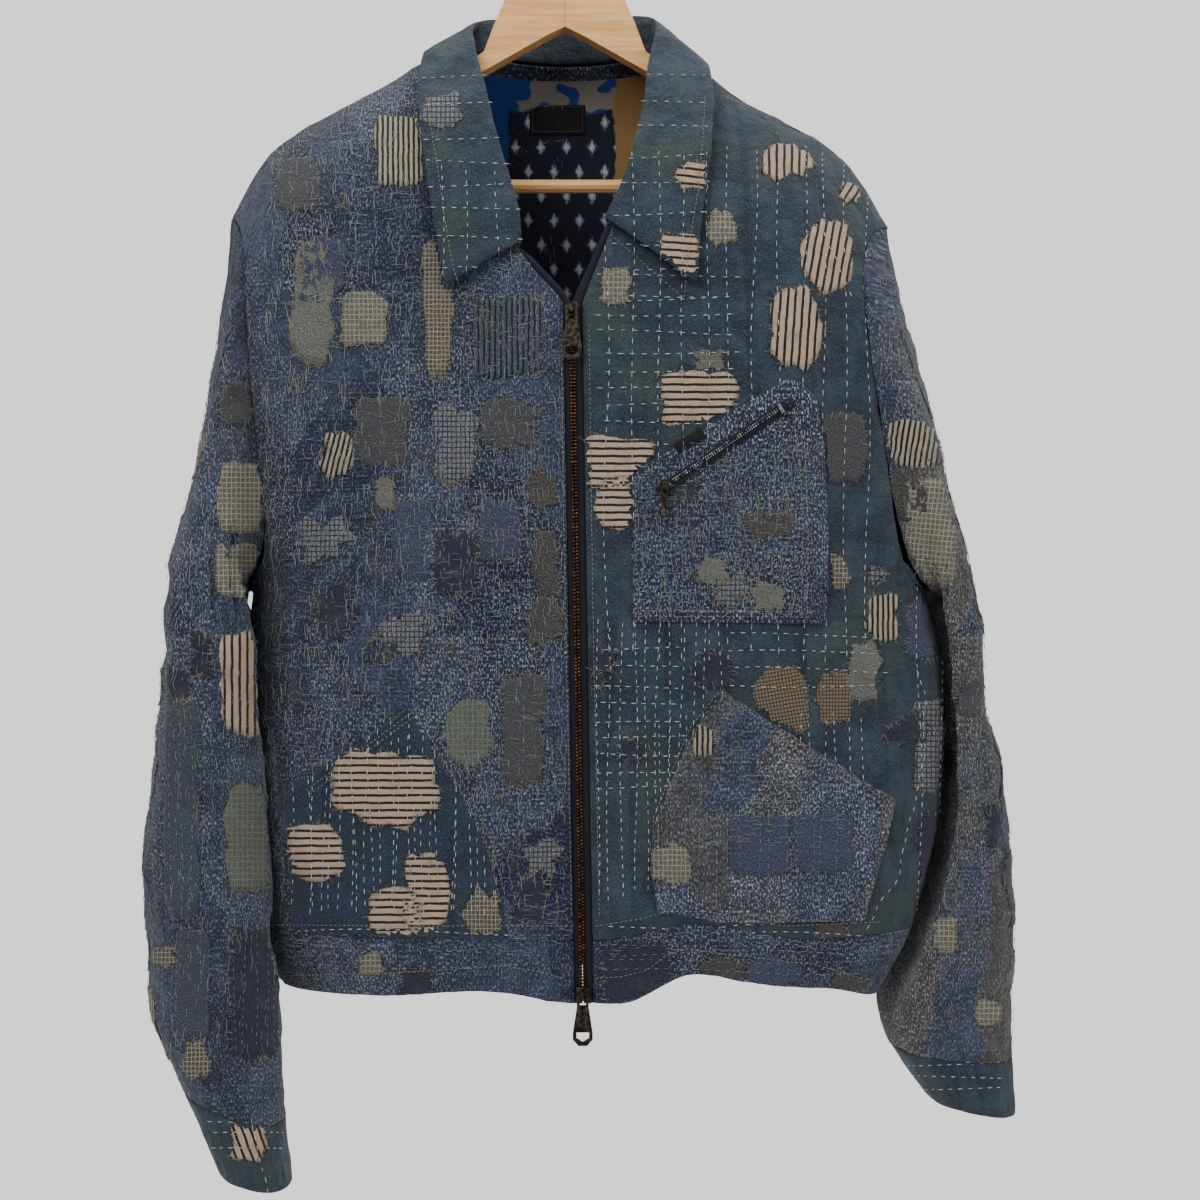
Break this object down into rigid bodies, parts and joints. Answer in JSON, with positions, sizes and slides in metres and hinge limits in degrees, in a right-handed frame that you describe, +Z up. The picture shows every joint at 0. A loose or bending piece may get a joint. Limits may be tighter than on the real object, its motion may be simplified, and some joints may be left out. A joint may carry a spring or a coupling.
{
  "type": "patched boro jacket on a wooden clothes hanger",
  "caption": "Short zipped jacket of mended indigo cottons with a turned-down collar, patch pockets and two sleeves, hanging open-necked on a wooden hanger.",
  "frame": {"origin": "inside top of the hanger's hook, where a rail carries it", "axes": "+Z up, the jacket's front faces -Y, +X towards the wearer's left"},
  "size_m": [0.6332, 0.2041, 0.9782],
  "materials": {
    "boro_heather": "matte indigo and grey woven cotton with visible mending",
    "boro_teal": "matte teal-indigo cotton with white running stitches",
    "kasuri_lining": "matte navy kasuri cotton",
    "label": "bare black woven tape",
    "zip_tape": "navy twill tape",
    "copper_teeth": "copper-coloured metal teeth, semi-bright",
    "antique_metal": "antique finish, satin",
    "steel_wire": "bright plated wire",
    "beech": "clear lacquered beech"
  },
  "bodies": {
    "jacket": {"back_panel": "boro_heather", "chest_pocket": "boro_heather", "chest_zip_slider": "antique_metal", "chest_zip_stop": "steel_wire", "chest_zip_tape": "zip_tape", "collar": "boro_teal", "cuff_left": "boro_teal", "cuff_right": "boro_teal", "front_left": "boro_teal", "front_right": "boro_heather", "hand_pocket_left": "boro_heather", "hand_pocket_right": "boro_heather", "hanger_arm_left": "beech", "hanger_arm_right": "beech", "hanger_bar": "beech", "hanger_hook": "steel_wire", "hem_band_back": "boro_heather", "hem_band_left": "boro_heather", "hem_band_right": "boro_heather", "hook_ferrule": "steel_wire", "neck_label": "label", "neck_lining": "kasuri_lining", "pocket_tab": "label", "sleeve_left": "boro_heather", "sleeve_right": "boro_heather", "zip_chain": "copper_teeth", "zip_slider_bottom": "antique_metal", "zip_slider_top": "antique_metal", "zip_tape_left": "zip_tape", "zip_tape_right": "zip_tape"},
    "pull_bottom": {"zip_pull_bottom": "antique_metal"},
    "pull_top": {"zip_pull_top": "antique_metal"},
    "pull_chest": {"chest_pull": "antique_metal"}
  },
  "joints": [
    {"name": "pull_bottom_swing", "type": "hinge", "parent": "jacket", "child": "pull_bottom", "pos_m": [0.01413, -0.07758, -0.8323], "axis": [-1, 0, 0], "range_deg": [0, 160]},
    {"name": "pull_top_swing", "type": "hinge", "parent": "jacket", "child": "pull_top", "pos_m": [0.00651, -0.08779, -0.3517], "axis": [-1, 0, 0], "range_deg": [0, 160]},
    {"name": "pull_chest_swing", "type": "hinge", "parent": "jacket", "child": "pull_chest", "pos_m": [0.07108, -0.09159, -0.47709], "axis": [-1, 0, 0], "range_deg": [0, 160]}
  ]
}
